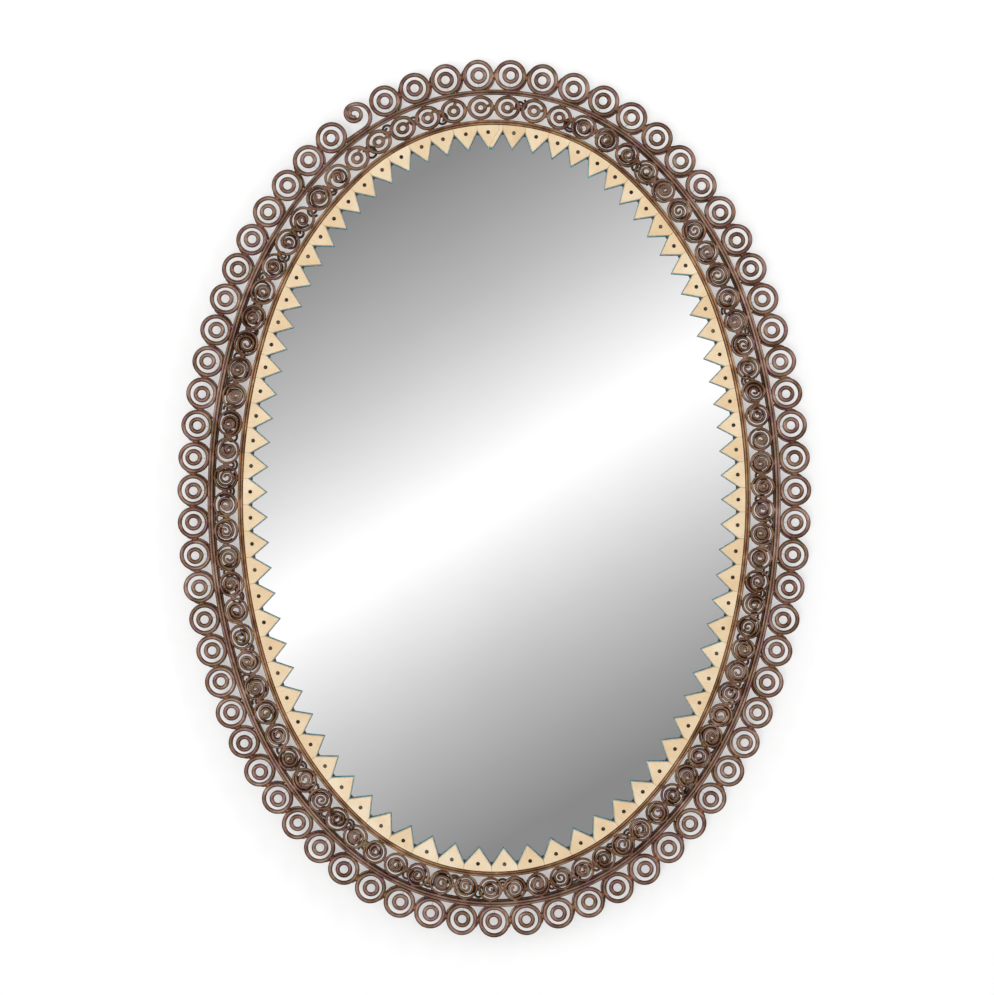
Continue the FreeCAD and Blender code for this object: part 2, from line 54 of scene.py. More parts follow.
def ovalArcs(shape):
    sideAngle, endAngle = shape["sideAngle"], shape["endAngle"]
    sideTurn, endTurn = math.radians(sideAngle), math.radians(endAngle)
    endRadius = shape["endRadiusShare"] * shape["halfWidth"]
    across, along = shape["halfWidth"] - endRadius, shape["halfHeight"] - endRadius
    sideRise, endRise = 1 - math.cos(sideTurn), 1 - math.cos(endTurn)
    share = sideRise * math.sin(endTurn) - endRise * math.sin(sideTurn)
    sideStep = (across * math.sin(endTurn) - along * endRise) / share
    middleRadius = endRadius + (along * sideRise - across * math.sin(sideTurn)) / share
    sideRadius = middleRadius + sideStep
    sideCentre = (shape["halfWidth"] - sideRadius, 0)
    middleCentre = (sideCentre[0] + sideStep * math.cos(sideTurn), sideStep * math.sin(sideTurn))
    end, side, middle = (endRadius, (0, along)), (sideRadius, sideCentre), (middleRadius, middleCentre)
    stops = (topAngle, endAngle, sideAngle, -sideAngle, -endAngle, endAngle - 180, sideAngle - 180,
             -sideAngle - 180, -endAngle - 180, topAngle - 360)
    kinds = ((end, 1, 1), (middle, 1, 1), (side, 1, 1), (middle, 1, -1), (end, 1, -1),
             (middle, -1, -1), (side, -1, 1), (middle, -1, 1), (end, 1, 1))
    return [(radius * mm, Vector((mirrorX * centre[0], 0, mirrorZ * centre[1])) * mm, first, last)
            for ((radius, centre), mirrorX, mirrorZ), first, last in zip(kinds, stops, stops[1:])]


arcsOfOval = ovalArcs(ovalShape)


def ovalLength(offset):
    return sum((arc[0] + offset) * math.radians(arc[2] - arc[3]) for arc in arcsOfOval)


def ovalAngle(share, offset):
    left = (share % 1) * ovalLength(offset)
    for radius, centre, first, last in arcsOfOval:
        length = (radius + offset) * math.radians(first - last)
        if left <= length:
            return first - math.degrees(left / (radius + offset))
        left -= length
    return arcsOfOval[-1][3]


def outwardAt(angle):
    return Vector((math.cos(math.radians(angle)), 0, math.sin(math.radians(angle))))


def ovalSpot(angle, offset, depth):
    angle = topAngle - (topAngle - angle) % 360
    radius, centre = [arc for arc in arcsOfOval if arc[3] <= angle][0][:2]
    return centre + outwardAt(angle) * (radius + offset) + front * depth


def ovalPlace(angle, offset, depth):    # local X runs clockwise along the oval, local Z points outwards
    turn = Matrix.Rotation(math.radians(topAngle - angle), 4, "Y")
    return Matrix.Translation(ovalSpot(angle, offset, depth)) @ turn


def sectorOf(share):
    count = len(sectorNames)
    return sectorNames[int((share % 1) * count + 0.5) % count]


def once(parts):        # each part one time, in the order found
    return list(dict.fromkeys(parts))


# wire work: a round section, bent about centres and run straight

def startWire(bm, place, heading, wire, sides):
    turn = axisZ.rotation_difference(heading).to_matrix().to_4x4()
    made = bmesh.ops.create_circle(bm, segments=sides, radius=wire / 2,
                                   matrix=Matrix.Translation(place) @ turn)
    return made["verts"] + once(edge for vert in made["verts"] for edge in vert.link_edges)


def bendWire(bm, section, centre, angle, steps, closed=False):
    return bmesh.ops.spin(bm, geom=section, cent=centre, axis=axisY, angle=angle, steps=steps,
                          use_merge=closed)["geom_last"]


def runWire(bm, section, move):
    return bmesh.ops.spin(bm, geom=section, cent=(0, 0, 0), axis=axisY, dvec=move, angle=0,
                          steps=1)["geom_last"]


def capWire(bm, section):
    edges = [part for part in section if isinstance(part, bmesh.types.BMEdge)]
    bmesh.ops.edgeloop_fill(bm, edges=edges)


def bendRing(bm, radius, wire, sides, steps):
    section = startWire(bm, axisX * radius, axisZ, wire, sides)
    bendWire(bm, section, (0, 0, 0), fullTurn, steps, True)


def offBy(limit):       # small error by chance, either way
    return chance.uniform(-limit, limit)


def leanBy(limit, axis):        # the same as a tilt, in degrees
    return Matrix.Rotation(math.radians(offBy(limit)), 4, axis)


def vertsSince(bm, known):
    return [vert for vert in bm.verts if vert not in known]


# operators are quick on a small mesh, so each part is made alone and then joins its row
def joinTo(bm, part):
    mesh = bpy.data.meshes.new("part")
    part.to_mesh(mesh)
    part.free()
    bm.from_mesh(mesh)
    bpy.data.meshes.remove(mesh)


beadMesh = {"around": 8, "rows": 6}


def dropBead(bm, place, size, turn):    # half width, depth and height in millimetres; a pair is a range
    size = [chance.uniform(*each) if isinstance(each, tuple) else each for each in size]
    if isinstance(turn, tuple):
        turn = chance.uniform(*turn)
    shape = (Matrix.Translation(place) @ Matrix.Rotation(math.radians(turn), 4, "Y")
             @ Matrix.Diagonal((*size, 1)))
    bead = bmesh.new()
    bmesh.ops.create_uvsphere(bead, u_segments=beadMesh["around"], v_segments=beadMesh["rows"],
                              radius=mm, matrix=shape)
    joinTo(bm, bead)


def keepPiece(name, bm, material, nodes=(), smooth=True):
    bmesh.ops.recalc_face_normals(bm, faces=bm.faces)
    mesh = bpy.data.meshes.new(name)
    bm.to_mesh(mesh)
    bm.free()
    for face in mesh.polygons:
        face.use_smooth = smooth
    for each in material if isinstance(material, list) else [material]:
        mesh.materials.append(each)
    piece = bpy.data.objects.new(name, mesh)
    bpy.context.scene.collection.objects.link(piece)
    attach(piece, "frame")
    if nodes:
        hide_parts(*nodes)


# materials

def linear(code):
    parts = [int(code[place:place + 2], 16) / 255 for place in (1, 3, 5)]
    return [part / 12.92 if part <= 0.04045 else ((part + 0.055) / 1.055) ** 2.4 for part in parts] + [1]


def addNode(tree, kind, settings=None, links=None):
    node = tree.nodes.new(kind)
    for name, value in (settings or {}).items():
        if name == "stops":     # places and colours of a ramp
            while len(node.color_ramp.elements) < len(value):
                node.color_ramp.elements.new(0.5)
            for element, (place, code) in zip(node.color_ramp.elements, value):
                element.position, element.color = place, linear(code)
        elif isinstance(name, int) or name in node.inputs:
            node.inputs[name].default_value = value
        else:
            setattr(node, name, value)
    for name, source in (links or {}).items():
        tree.links.new(source, node.inputs[name])
    return node


def newMaterial(name, **sockets):
    material = bpy.data.materials.new(name)
    material.use_nodes = True
    tree = material.node_tree
    shader = tree.nodes["Principled BSDF"]
    for socket, value in sockets.items():
        shader.inputs[socket.replace("_", " ")].default_value = value
    return material, tree, shader, addNode(tree, "ShaderNodeTexCoord")


def perSize(size):      # noise scale for patches of about this many millimetres
    return 1 / (size * mm)


# Drawn iron wire with a brown heat patina: soft gloss, violet and olive oxides in places; the dark outline
# at its edges is painted shade, from a dark specular tint
patinaLook = {"metallic": 0.75, "gloss": (0.2, 0.36), "rim": "#2A2420", "patch": 16,
              "tintPatch": 13, "tintMost": 0.6, "tintEnds": ((0.53, 0.72), (0.47, 0.28)),
              "pit": 1.6, "pitDepth": 0.2, "bump": 0.06}


def makePatina(name, dark, middle, light, tints):
    look = patinaLook
    # the dark specular tint paints shade on the grazing edges of the wire
    material, tree, shader, coords = newMaterial(name, Metallic=look["metallic"],
                                                 Specular_Tint=linear(look["rim"]))
    patches = addNode(tree, "ShaderNodeTexNoise", {"Scale": perSize(look["patch"]), "Detail": 3},
                      {"Vector": coords.outputs["Object"]})
    tone = addNode(tree, "ShaderNodeValToRGB", {"stops": ((0.32, dark), (0.5, middle), (0.7, light))},
                   {"Fac": patches.outputs["Fac"]})
    oxides = addNode(tree, "ShaderNodeTexNoise", {"Scale": perSize(look["tintPatch"]), "Detail": 1},
                     {"Vector": coords.outputs["Object"]})
    colour = tone.outputs["Color"]
    for tint, (begin, end) in zip(tints, look["tintEnds"]):
        amount = addNode(tree, "ShaderNodeMapRange",
                         {"From Min": begin, "From Max": end, "To Max": look["tintMost"]},
                         {"Value": oxides.outputs["Fac"]})
        mixed = addNode(tree, "ShaderNodeMix", {"data_type": "RGBA", 7: linear(tint)},
                        {0: amount.outputs["Result"], 6: colour})
        colour = mixed.outputs[2]
    shine = addNode(tree, "ShaderNodeMapRange", {"To Min": look["gloss"][0], "To Max": look["gloss"][1]},
                    {"Value": patches.outputs["Fac"]})
    pits = addNode(tree, "ShaderNodeTexNoise", {"Scale": perSize(look["pit"]), "Detail": 2},
                   {"Vector": coords.outputs["Object"]})
    bump = addNode(tree, "ShaderNodeBump", {"Strength": look["bump"], "Distance": look["pitDepth"] * mm},
                   {"Height": pits.outputs["Fac"]})
    tree.links.new(colour, shader.inputs["Base Color"])
    tree.links.new(shine.outputs["Result"], shader.inputs["Roughness"])
    tree.links.new(bump.outputs["Normal"], shader.inputs["Normal"])
    return material


# Wire of the outer row and outer hoop: rosy brown
patina = makePatina("patinatedIronWire", "#70503F", "#906E5E", "#AE9080", ("#8C6A72", "#837558"))
# Wire of the inner hoop: lighter and warmer brown, painted light where the hoop faces the lamps
litHoopPatina = makePatina("paintedLightIronHoop", "#77533A", "#9A7254", "#C09A74", ("#946C54", "#93794E"))
# Wire of the scrolls: deeper brown than the rings
scrollPatina = makePatina("patinatedScrollWire", "#64442F", "#83604B", "#A6846C", ("#805C62", "#786A48"))
# Wire ends and seams painted dark as shade: painted shade in the gaps behind the scrolls and along the
# hoops, so that the wires before them stand out
paintedShadePatina = makePatina("paintedShadeIronWire", "#402C23", "#594237", "#775E52", ("#533E46", "#504634"))
# Bronze braze, browned by the flame: reddish lumps
braze = makePatina("brazingBronze", "#6A4030", "#865846", "#A07452", ("#8A6050", "#A07C4C"))
# Blackened nails and screws: small dark dots
nailIron = makePatina("blackenedIron", "#32271F", "#4E4036", "#7A6B5E", ("#463A3A", "#4A4234"))

# Sawn and polished bone: ivory colour, fine streaks along the tooth, a tone of its own for each tooth
boneLook = {"streakAcross": 0.9, "streakAlong": 14, "streakDepth": 0.2, "bump": 0.08, "patch": 22}


def makeBone():
    material, tree, shader, coords = newMaterial("polishedBone", Roughness=0.42, IOR=1.54,
                                                 Subsurface_Weight=0.08, Subsurface_Scale=2 * mm)
    squeeze = addNode(tree, "ShaderNodeMapping",
                      {"Scale": (perSize(boneLook["streakAcross"]), perSize(boneLook["streakAlong"]), 1)},
                      {"Vector": coords.outputs["UV"]})
    streaks = addNode(tree, "ShaderNodeTexNoise", {"Scale": 1, "Detail": 3},
                      {"Vector": squeeze.outputs["Vector"]})
    patches = addNode(tree, "ShaderNodeTexNoise", {"Scale": perSize(boneLook["patch"]), "Detail": 3},
                      {"Vector": coords.outputs["Object"]})
    tone = addNode(tree, "ShaderNodeValToRGB",
                   {"stops": ((0.25, "#E3C9A2"), (0.5, "#E9D3B0"), (0.75, "#EEDDC2"))},
                   {"Fac": patches.outputs["Fac"]})
    grain = addNode(tree, "ShaderNodeValToRGB",
                    {"stops": ((0.3, "#F6EFE2"), (0.5, "#FFFFFF"), (0.8, "#FBF7EF"))},
                    {"Fac": streaks.outputs["Fac"]})
    shade = addNode(tree, "ShaderNodeMix", {"data_type": "RGBA", "blend_type": "MULTIPLY", 0: 1.0},
                    {6: tone.outputs["Color"], 7: grain.outputs["Color"]})
    own = addNode(tree, "ShaderNodeAttribute", {"attribute_name": "toothTone"})
    ownTone = addNode(tree, "ShaderNodeValToRGB", {"stops": ((0, "#F5ECDD"), (1, "#FFFFFF"))},
                      {"Fac": own.outputs["Fac"]})
    toned = addNode(tree, "ShaderNodeMix", {"data_type": "RGBA", "blend_type": "MULTIPLY", 0: 1.0},
                    {6: shade.outputs[2], 7: ownTone.outputs["Color"]})
    bump = addNode(tree, "ShaderNodeBump",
                   {"Strength": boneLook["bump"], "Distance": boneLook["streakDepth"] * mm},
                   {"Height": streaks.outputs["Fac"]})
    tree.links.new(toned.outputs[2], shader.inputs["Base Color"])
    tree.links.new(bump.outputs["Normal"], shader.inputs["Normal"])
    return material


bone = makeBone()

# Birch ply, sanded and left bare: pale, with long soft grain lines and fine dark pores
plyLook = {"grain": 26, "waver": 14, "pore": 1.4, "poreDepth": 0.2, "bump": 0.12, "length": 22,
           "roughness": (0.6, 0.75)}


def makePlywood():
    material, tree, shader, coords = newMaterial("birchPlywood")
    stretch = addNode(tree, "ShaderNodeMapping", {"Scale": (1, 1, 1 / plyLook["length"])},
                      {"Vector": coords.outputs["Object"]})
    lines = addNode(tree, "ShaderNodeTexWave",
                    {"Scale": perSize(plyLook["grain"]) / fullTurn, "Distortion": plyLook["waver"],
                     "Detail": 3, "Detail Scale": 0.7, "wave_profile": "SIN"},
                    {"Vector": stretch.outputs["Vector"]})
    pores = addNode(tree, "ShaderNodeTexNoise", {"Scale": perSize(plyLook["pore"]), "Detail": 2},
                    {"Vector": stretch.outputs["Vector"]})
    tone = addNode(tree, "ShaderNodeValToRGB",
                   {"stops": ((0, "#CAA776"), (0.55, "#D3B384"), (1, "#D9BC90"))},
                   {"Fac": lines.outputs["Fac"]})
    specks = addNode(tree, "ShaderNodeValToRGB", {"stops": ((0.34, "#D8C4A8"), (0.5, "#FFFFFF"))},
                     {"Fac": pores.outputs["Fac"]})
    shade = addNode(tree, "ShaderNodeMix", {"data_type": "RGBA", "blend_type": "MULTIPLY", 0: 1.0},
                    {6: tone.outputs["Color"], 7: specks.outputs["Color"]})
    least, most = plyLook["roughness"]
    rough = addNode(tree, "ShaderNodeMapRange", {"To Min": least, "To Max": most},
                    {"Value": pores.outputs["Fac"]})
    bump = addNode(tree, "ShaderNodeBump",
                   {"Strength": plyLook["bump"], "Distance": plyLook["poreDepth"] * mm},
                   {"Height": pores.outputs["Fac"]})
    tree.links.new(shade.outputs[2], shader.inputs["Base Color"])
    tree.links.new(rough.outputs["Result"], shader.inputs["Roughness"])
    tree.links.new(bump.outputs["Normal"], shader.inputs["Normal"])
    return material


plywood = makePlywood()

# Plain finishes with two tones in soft patches of a size in millimetres
mottledLook = {"bump": 0.05, "relief": 0.3}


def makeMottled(name, dark, light, patch, roughness, bump=mottledLook["bump"], **sockets):
    material, tree, shader, coords = newMaterial(name, **sockets)
    patches = addNode(tree, "ShaderNodeTexNoise", {"Scale": perSize(patch), "Detail": 6, "Roughness": 0.6},
                      {"Vector": coords.outputs["Object"]})
    tone = addNode(tree, "ShaderNodeValToRGB", {"stops": ((0.35, dark), (0.65, light))},
                   {"Fac": patches.outputs["Fac"]})
    gloss = addNode(tree, "ShaderNodeMapRange", {"To Min": roughness[0], "To Max": roughness[1]},
                    {"Value": patches.outputs["Fac"]})
    tree.links.new(tone.outputs["Color"], shader.inputs["Base Color"])
    tree.links.new(gloss.outputs["Result"], shader.inputs["Roughness"])
    if bump:
        relief = addNode(tree, "ShaderNodeBump", {"Strength": bump, "Distance": mottledLook["relief"] * mm},
                         {"Height": patches.outputs["Fac"]})
        tree.links.new(relief.outputs["Normal"], shader.inputs["Normal"])
    return material


# Float glass silvered behind: a clear mirror
silvering = makeMottled("silveredGlass", "#FBFBFB", "#FEFEFE", 160, (0.0, 0.008), bump=0, Metallic=1)
# Brushed paint, almost black: a dark ground between the teeth
railPaint = makeMottled("blueBlackPaint", "#0E1A20", "#1B2E36", 6, (0.45, 0.65))
# Blue-green on the lower half of each tooth flank, next to the glass: a painted reflection of the tooth
# edges in the green mirror glass, dull
paintedReflection = makeMottled("paintedTealReflection", "#37818F", "#7FC0CA", 4, (0.45, 0.6))
# Rolled iron strip with a heat patina: dark brown, dull
rimIron = makeMottled("patinatedIronBand", "#4A362C", "#6E554A", 14, (0.4, 0.6), Metallic=0.7)
# Pressed steel with a zinc coat: pale grey, satin
zinc = makeMottled("zincPlatedSteel", "#B6B8B3", "#CED0CB", 7, (0.38, 0.52), Metallic=0.7)
# Thin tinned wire: so pale that it hardly shows before the wall
tin = makeMottled("tinnedWire", "#D8D8D6", "#E6E6E4", 3, (0.35, 0.5), Metallic=0.3)
# Moulded rubber: black and matt
rubber = makeMottled("blackRubber", "#1B1B1B", "#2A2A2A", 2, (0.7, 0.85), bump=0.15)

finishes = {"mirror_glass": silvering, "tooth_rail": railPaint, "rim_band": rimIron,
            "backing_board": plywood, "left_hanger_strap": zinc, "right_hanger_strap": zinc,
            "left_hanger_ring": zinc, "right_hanger_ring": zinc, "hanger_screws": zinc,
            "rim_screws": nailIron, "rail_brads": nailIron,
            "bumper_upper_left": rubber, "bumper_upper_right": rubber,
            "bumper_lower_left": rubber, "bumper_lower_right": rubber}
for node, material in finishes.items():
    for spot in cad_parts[node].material_slots:
        spot.material = material
print("materials made")

# twin hoops

wireDepth = 23.92 * mm      # middle of hoops and scrolls, from the wall
hoopMesh = {"sides": 10, "step": 7, "merge": 0.1}
hoops = {"inner_hoop_first_wire": {"offset": 1.75, "wire": 2.6, "finish": litHoopPatina},
         "inner_hoop_second_wire": {"offset": 4.47, "wire": 2.6, "finish": litHoopPatina},
         "outer_hoop_first_wire": {"offset": 32.77, "wire": 2.8, "finish": patina},
         "outer_hoop_second_wire": {"offset": 35.69, "wire": 2.8, "finish": patina}}
# dark seams of painted shade: braze sunk between the two wires of a hoop, dark as the shaded groove, and a
# dark wire behind the outer hoop where scrolls meet its sides, a painted shadow there
seams = {"inner": {"offset": 3.11, "wire": 1.3, "forward": -0.2, "from": topAngle, "to": topAngle - 360},
         "outer": {"offset": 34.23, "wire": 1.6, "forward": 0.1, "from": topAngle, "to": topAngle - 360},
         "sides": {"offset": 30.3, "wire": 2.8, "forward": -1.7, "from": 64.8, "to": -210.8}}


def layHoop(bm, offset, wire, depth, begin=topAngle, end=topAngle - 360):
    whole = begin - end == 360
    heading = outwardAt(begin).cross(front)
    section = startWire(bm, ovalSpot(begin, offset, depth), heading, wire, hoopMesh["sides"])
    if not whole:
        capWire(bm, section)
    for radius, centre, first, last in arcsOfOval:
        turn = math.radians(min(first, begin) - max(last, end))
        if turn > 0:
            steps = math.ceil((radius + offset) * turn / (hoopMesh["step"] * mm))
            section = bendWire(bm, section, centre + front * depth, turn, steps)
    if not whole:
        capWire(bm, section)
    bmesh.ops.remove_doubles(bm, verts=bm.verts, dist=hoopMesh["merge"] * mm)


for node, hoop in hoops.items():
    bm = bmesh.new()
    layHoop(bm, hoop["offset"] * mm, hoop["wire"] * mm, wireDepth)
    keepPiece("wire_" + node, bm, hoop["finish"], [node])
for name, seam in seams.items():
    bm = bmesh.new()
    layHoop(bm, seam["offset"] * mm, seam["wire"] * mm, wireDepth + seam["forward"] * mm,
            seam["from"], seam["to"])
    keepPiece("shadeSeam_" + name, bm, paintedShadePatina)
print("hoops laid")

# row of scrolls between the hoops

# shares are the radii of the half turns from the middle outwards, before the turn that closes the scroll;
# zones are shares of the row's length, measured from the top
scrolls = {"reach": 12.75, "run": 2.85, "offset": 18.57, "gap": 0.12, "cadWidth": 23.5,
           "growth": 0.08, "widest": 0.86, "uneven": 0.02, "lean": 3, "sides": 8, "steps": 9,
           "closing": 0.95, "closingTurn": 120,
           "open": {"zone": (-0.075, 0.037), "wire": 3.75, "filled": 0.4, "sides": 10, "steps": 36,
                    "eye": 4.5, "eyeVaries": (0.96, 1.04), "hookWire": 3.0, "hookTurn": (-50, 10)},
           "loose": {"zone": (-0.135, 0.075), "wire": 3.1, "filled": 0.6,
                     "shares": ((0.22, 0.36, 0.5, 0.77, 1.0), (0.3, 0.4, 0.52, 0.76, 1.0))},
           "close": {"wire": 2.7, "filled": 0.8,
                     "shares": ((0.17, 0.335, 0.5, 0.665, 0.83, 1.0),
                                (0.14, 0.26, 0.39, 0.52, 0.67, 0.83, 1.0),
                                (0.26, 0.41, 0.56, 0.71, 0.86, 1.0),
                                (0.2, 0.33, 0.46, 0.6, 0.8, 1.0))}}
wireEnds = {"wire": 2.6, "back": 2.95, "shift": 1, "steps": 7, "rise": (2, 6),
            "behind": ((0.5, 0.66, 0.82), (0.3, 0.44, 0.62), (0.62, 0.74, 0.86)),
            "between": ((0.2, 0.32, 0.46), (0.3, 0.4, 0.52), (0.16, 0.3, 0.38))}
# a turn that is not a range is the most either way from the direction of the row
scrollBraze = {"atHoop": {"size": ((2, 4), 1.3, (0.9, 1.3)), "shift": 1, "back": 0.5},
               "between": {"size": ((1.3, 2), 1.6, (2.4, 4)), "shift": 2, "back": 0.3, "turn": 20,
                           "bronze": 0.12}}


def scrollPlaces(row):
    length = ovalLength(row["offset"] * mm) / mm
    count = round(length / (row["cadWidth"] + row["run"]))
    widths = [1 + row["growth"] * math.cos(fullTurn * ((index + 0.5) / count - row["widest"]))
              + row["uneven"] * math.sin(index * index) for index in range(count)]
    passed, places = 0, []
    for width in widths:
        share = width / sum(widths)
        places.append((passed + share / 2, share * length - row["gap"]))
        passed += share
    return places


def windSpiral(bm, radii, runs, wire, sides, steps, lastTurn=math.pi):
    place, side = Vector(), 1
    section = startWire(bm, place, axisX, wire, sides)
    capWire(bm, section)
    places = [place]
    for index, (radius, run) in enumerate(zip(radii, runs)):
        if run > 0:
            section = runWire(bm, section, axisX * side * run)
            place = place + axisX * side * run
        rise = axisZ * side * radius
        turn = math.pi if index < len(radii) - 1 else lastTurn
        section = bendWire(bm, section, place + rise, -turn, math.ceil(steps * turn / math.pi))
        place = place + 2 * rise
        places.append(place)
        side = -side
    return section, places


def windScroll(bm, kind, width):
    wire = kind["wire"] * mm
    radius = scrolls["reach"] * mm - wire / 2
    radii = [share * radius for share in (*chance.choice(kind["shares"]), scrolls["closing"])]
    run = max(width * mm - radii[-1] - radii[-2] - wire, 0)
    runs = [0] * (len(radii) - 3) + [run / 2, run, run]
    section, places = windSpiral(bm, radii, runs, wire, scrolls["sides"], scrolls["steps"],
                                 math.radians(scrolls["closingTurn"]))
    capWire(bm, section)
    side = 1 if len(radii) % 2 == 0 else -1     # the side to which the last whole half turn bulges
    return Vector((side * (radii[-2] - radii[-1]) / 2, 0, (places[-2].z + places[-3].z) / 2))


def scrollKind(share):
    fromTop = share - 1 if share > 0.5 else share
    for name in ("open", "loose"):
        first, last = scrolls[name]["zone"]
        if first < fromTop < last:
            return scrolls[name]
    return scrolls["close"]


# near the top a scroll is a ring with a small ring inside, hooked on at one side
def bendOpenScroll(bm, kind):
    radius = (scrolls["reach"] - kind["wire"] / 2) * mm
    eye = kind["eye"] * mm * chance.uniform(*kind["eyeVaries"])
    for each in (radius, eye):
        bendRing(bm, each, kind["wire"] * mm, kind["sides"], kind["steps"])
    section = startWire(bm, axisX * eye, axisZ, kind["hookWire"] * mm, scrolls["sides"])
    capWire(bm, section)
    capWire(bm, bendWire(bm, section, axisX * ((radius + eye) / 2), math.pi, scrolls["steps"]))
    return Vector()


def windEnd(bm, place, shares):     # wire end tucked in behind the scrolls, painted dark as the shade in the gaps
    known, knownFaces = set(bm.verts), set(bm.faces)
    radii = [share * scrolls["reach"] * mm for share in shares]
    section, places = windSpiral(bm, radii, [0] * len(radii), wireEnds["wire"] * mm, scrolls["sides"],
                                 wireEnds["steps"])
    capWire(bm, section)
    turned = Matrix.Rotation(chance.uniform(0, fullTurn), 4, "Y")
    centred = Matrix.Translation(-(places[-1] + places[-2]) / 2)
    bmesh.ops.transform(bm, matrix=place @ turned @ centred, verts=vertsSince(bm, known))
    # material 1 is the dark wire of painted shade
    for face in bm.faces:
        if face not in knownFaces:
            face.material_index = 1


scrollMeshes = {name: bmesh.new() for name in sectorNames}
saddles, lumps = [{name: bmesh.new() for name in sectorNames} for kind in ("bronze", "wire")]
scrollRow = scrollPlaces(scrolls)
for index, (share, width) in enumerate(scrollRow):
    sector = sectorOf(share)
    angle = ovalAngle(share, scrolls["offset"] * mm)
    place = ovalPlace(angle, scrolls["offset"] * mm, wireDepth)
    kind = scrollKind(share)
    isOpen = kind is scrolls["open"]
    bm = bmesh.new()
    middle = bendOpenScroll(bm, kind) if isOpen else windScroll(bm, kind, width)
    lean = leanBy(scrolls["lean"], "X") @ leanBy(scrolls["lean"], "Z")
    if isOpen:      # as long as its place, so that it touches its neighbours
        turned = (Matrix.Diagonal((width / 2 / scrolls["reach"], 1, 1, 1))
                  @ Matrix.Rotation(math.radians(chance.uniform(*kind["hookTurn"])), 4, "Y"))
    else:
        turned = Matrix.Rotation(math.pi * (index % 2), 4, "Y")
    flip = Matrix.Diagonal((1, 1, chance.choice(bothWays), 1))
    centred = Matrix.Translation(-middle)
    bmesh.ops.transform(bm, matrix=place @ lean @ turned @ flip @ centred, verts=bm.verts)
    if not isOpen:
        spot = Vector((offBy(wireEnds["shift"]), wireEnds["back"], offBy(wireEnds["shift"]))) * mm
        windEnd(bm, place @ Matrix.Translation(spot), chance.choice(wireEnds["behind"]))
    if chance.random() < kind["filled"]:
        rise = chance.choice(bothWays) * chance.uniform(*wireEnds["rise"])
        spot = Vector((width / 2, wireEnds["back"], rise)) * mm
        windEnd(bm, place @ Matrix.Translation(spot), chance.choice(wireEnds["between"]))
    joinTo(scrollMeshes[sector], bm)
    facing = topAngle - angle
    drop = scrollBraze["atHoop"]
    for side in bothWays:       # braze where the scroll touches the hoops
        spot = place @ (Vector((offBy(drop["shift"]), drop["back"], side * scrolls["reach"])) * mm)
        dropBead(lumps[sector], spot, drop["size"], facing)
    drop = scrollBraze["between"]
    spot = place @ (Vector((width / 2, drop["back"], offBy(drop["shift"]))) * mm)
    row = saddles if chance.random() < drop["bronze"] else lumps
    dropBead(row[sector], spot, drop["size"], (facing - drop["turn"], facing + drop["turn"]))
for name, bm in scrollMeshes.items():
    keepPiece("scrollRow_" + name, bm, [scrollPatina, paintedShadePatina], ["scrolls_" + name])
print("scrolls wound:", len(scrollRow))

# outer row: rings, eyes on their stays, links and braze

# endShare is the place of the end spiral, as a share of the row's length from the top
rings = {"offset": 52.54, "depth": 21.24, "diameter": 32.9, "wire": 4.5, "gap": 0.8, "sides": 12,
         "steps": 44, "stretch": 0.015, "lean": 1, "endShare": 0.9366}
eyes = {"diameter": 17.6, "wire": 4.4, "steps": 32, "shift": (0.9, 0.7), "lean": 3,
        "stayWire": 0.7, "stayDepth": 18.27, "staySides": 6}
links = {"wire": 2.4, "sweep": 58, "curl": 10, "hook": 75, "behind": 2.39, "sides": 8, "steps": 7}
ringBraze = {"eyeSeam": {"size": (0.8, 0.8, 1.1), "forward": 1.6, "turn": (-20, 20)},
             "fillet": {"size": (1.6, 1.2, 1.5), "beside": 3.4, "forward": 1.1, "rise": 0.2,
                        "turn": (0, 90)},
             "saddle": {"size": ((1.9, 2.4), 1.8, (3.0, 4.2)), "shift": 0.6, "turn": 8},
             "linkEnd": {"size": (1.5, 1.5, 1.8), "forward": (0.5, 2), "turn": (0, 90), "share": 0.5}}
ringOffset, ringDepth = rings["offset"] * mm, rings["depth"] * mm
ringRadius = (rings["diameter"] - rings["wire"]) / 2 * mm
eyeRadius = (eyes["diameter"] - eyes["wire"]) / 2 * mm


def ringPlaces():
    count = int(ovalLength(ringOffset) / mm // (rings["diameter"] + rings["gap"]))
    places = [(index + 0.5) / count for index in range(count)]
    free = places.pop(int(rings["endShare"] * count))
    return places, free


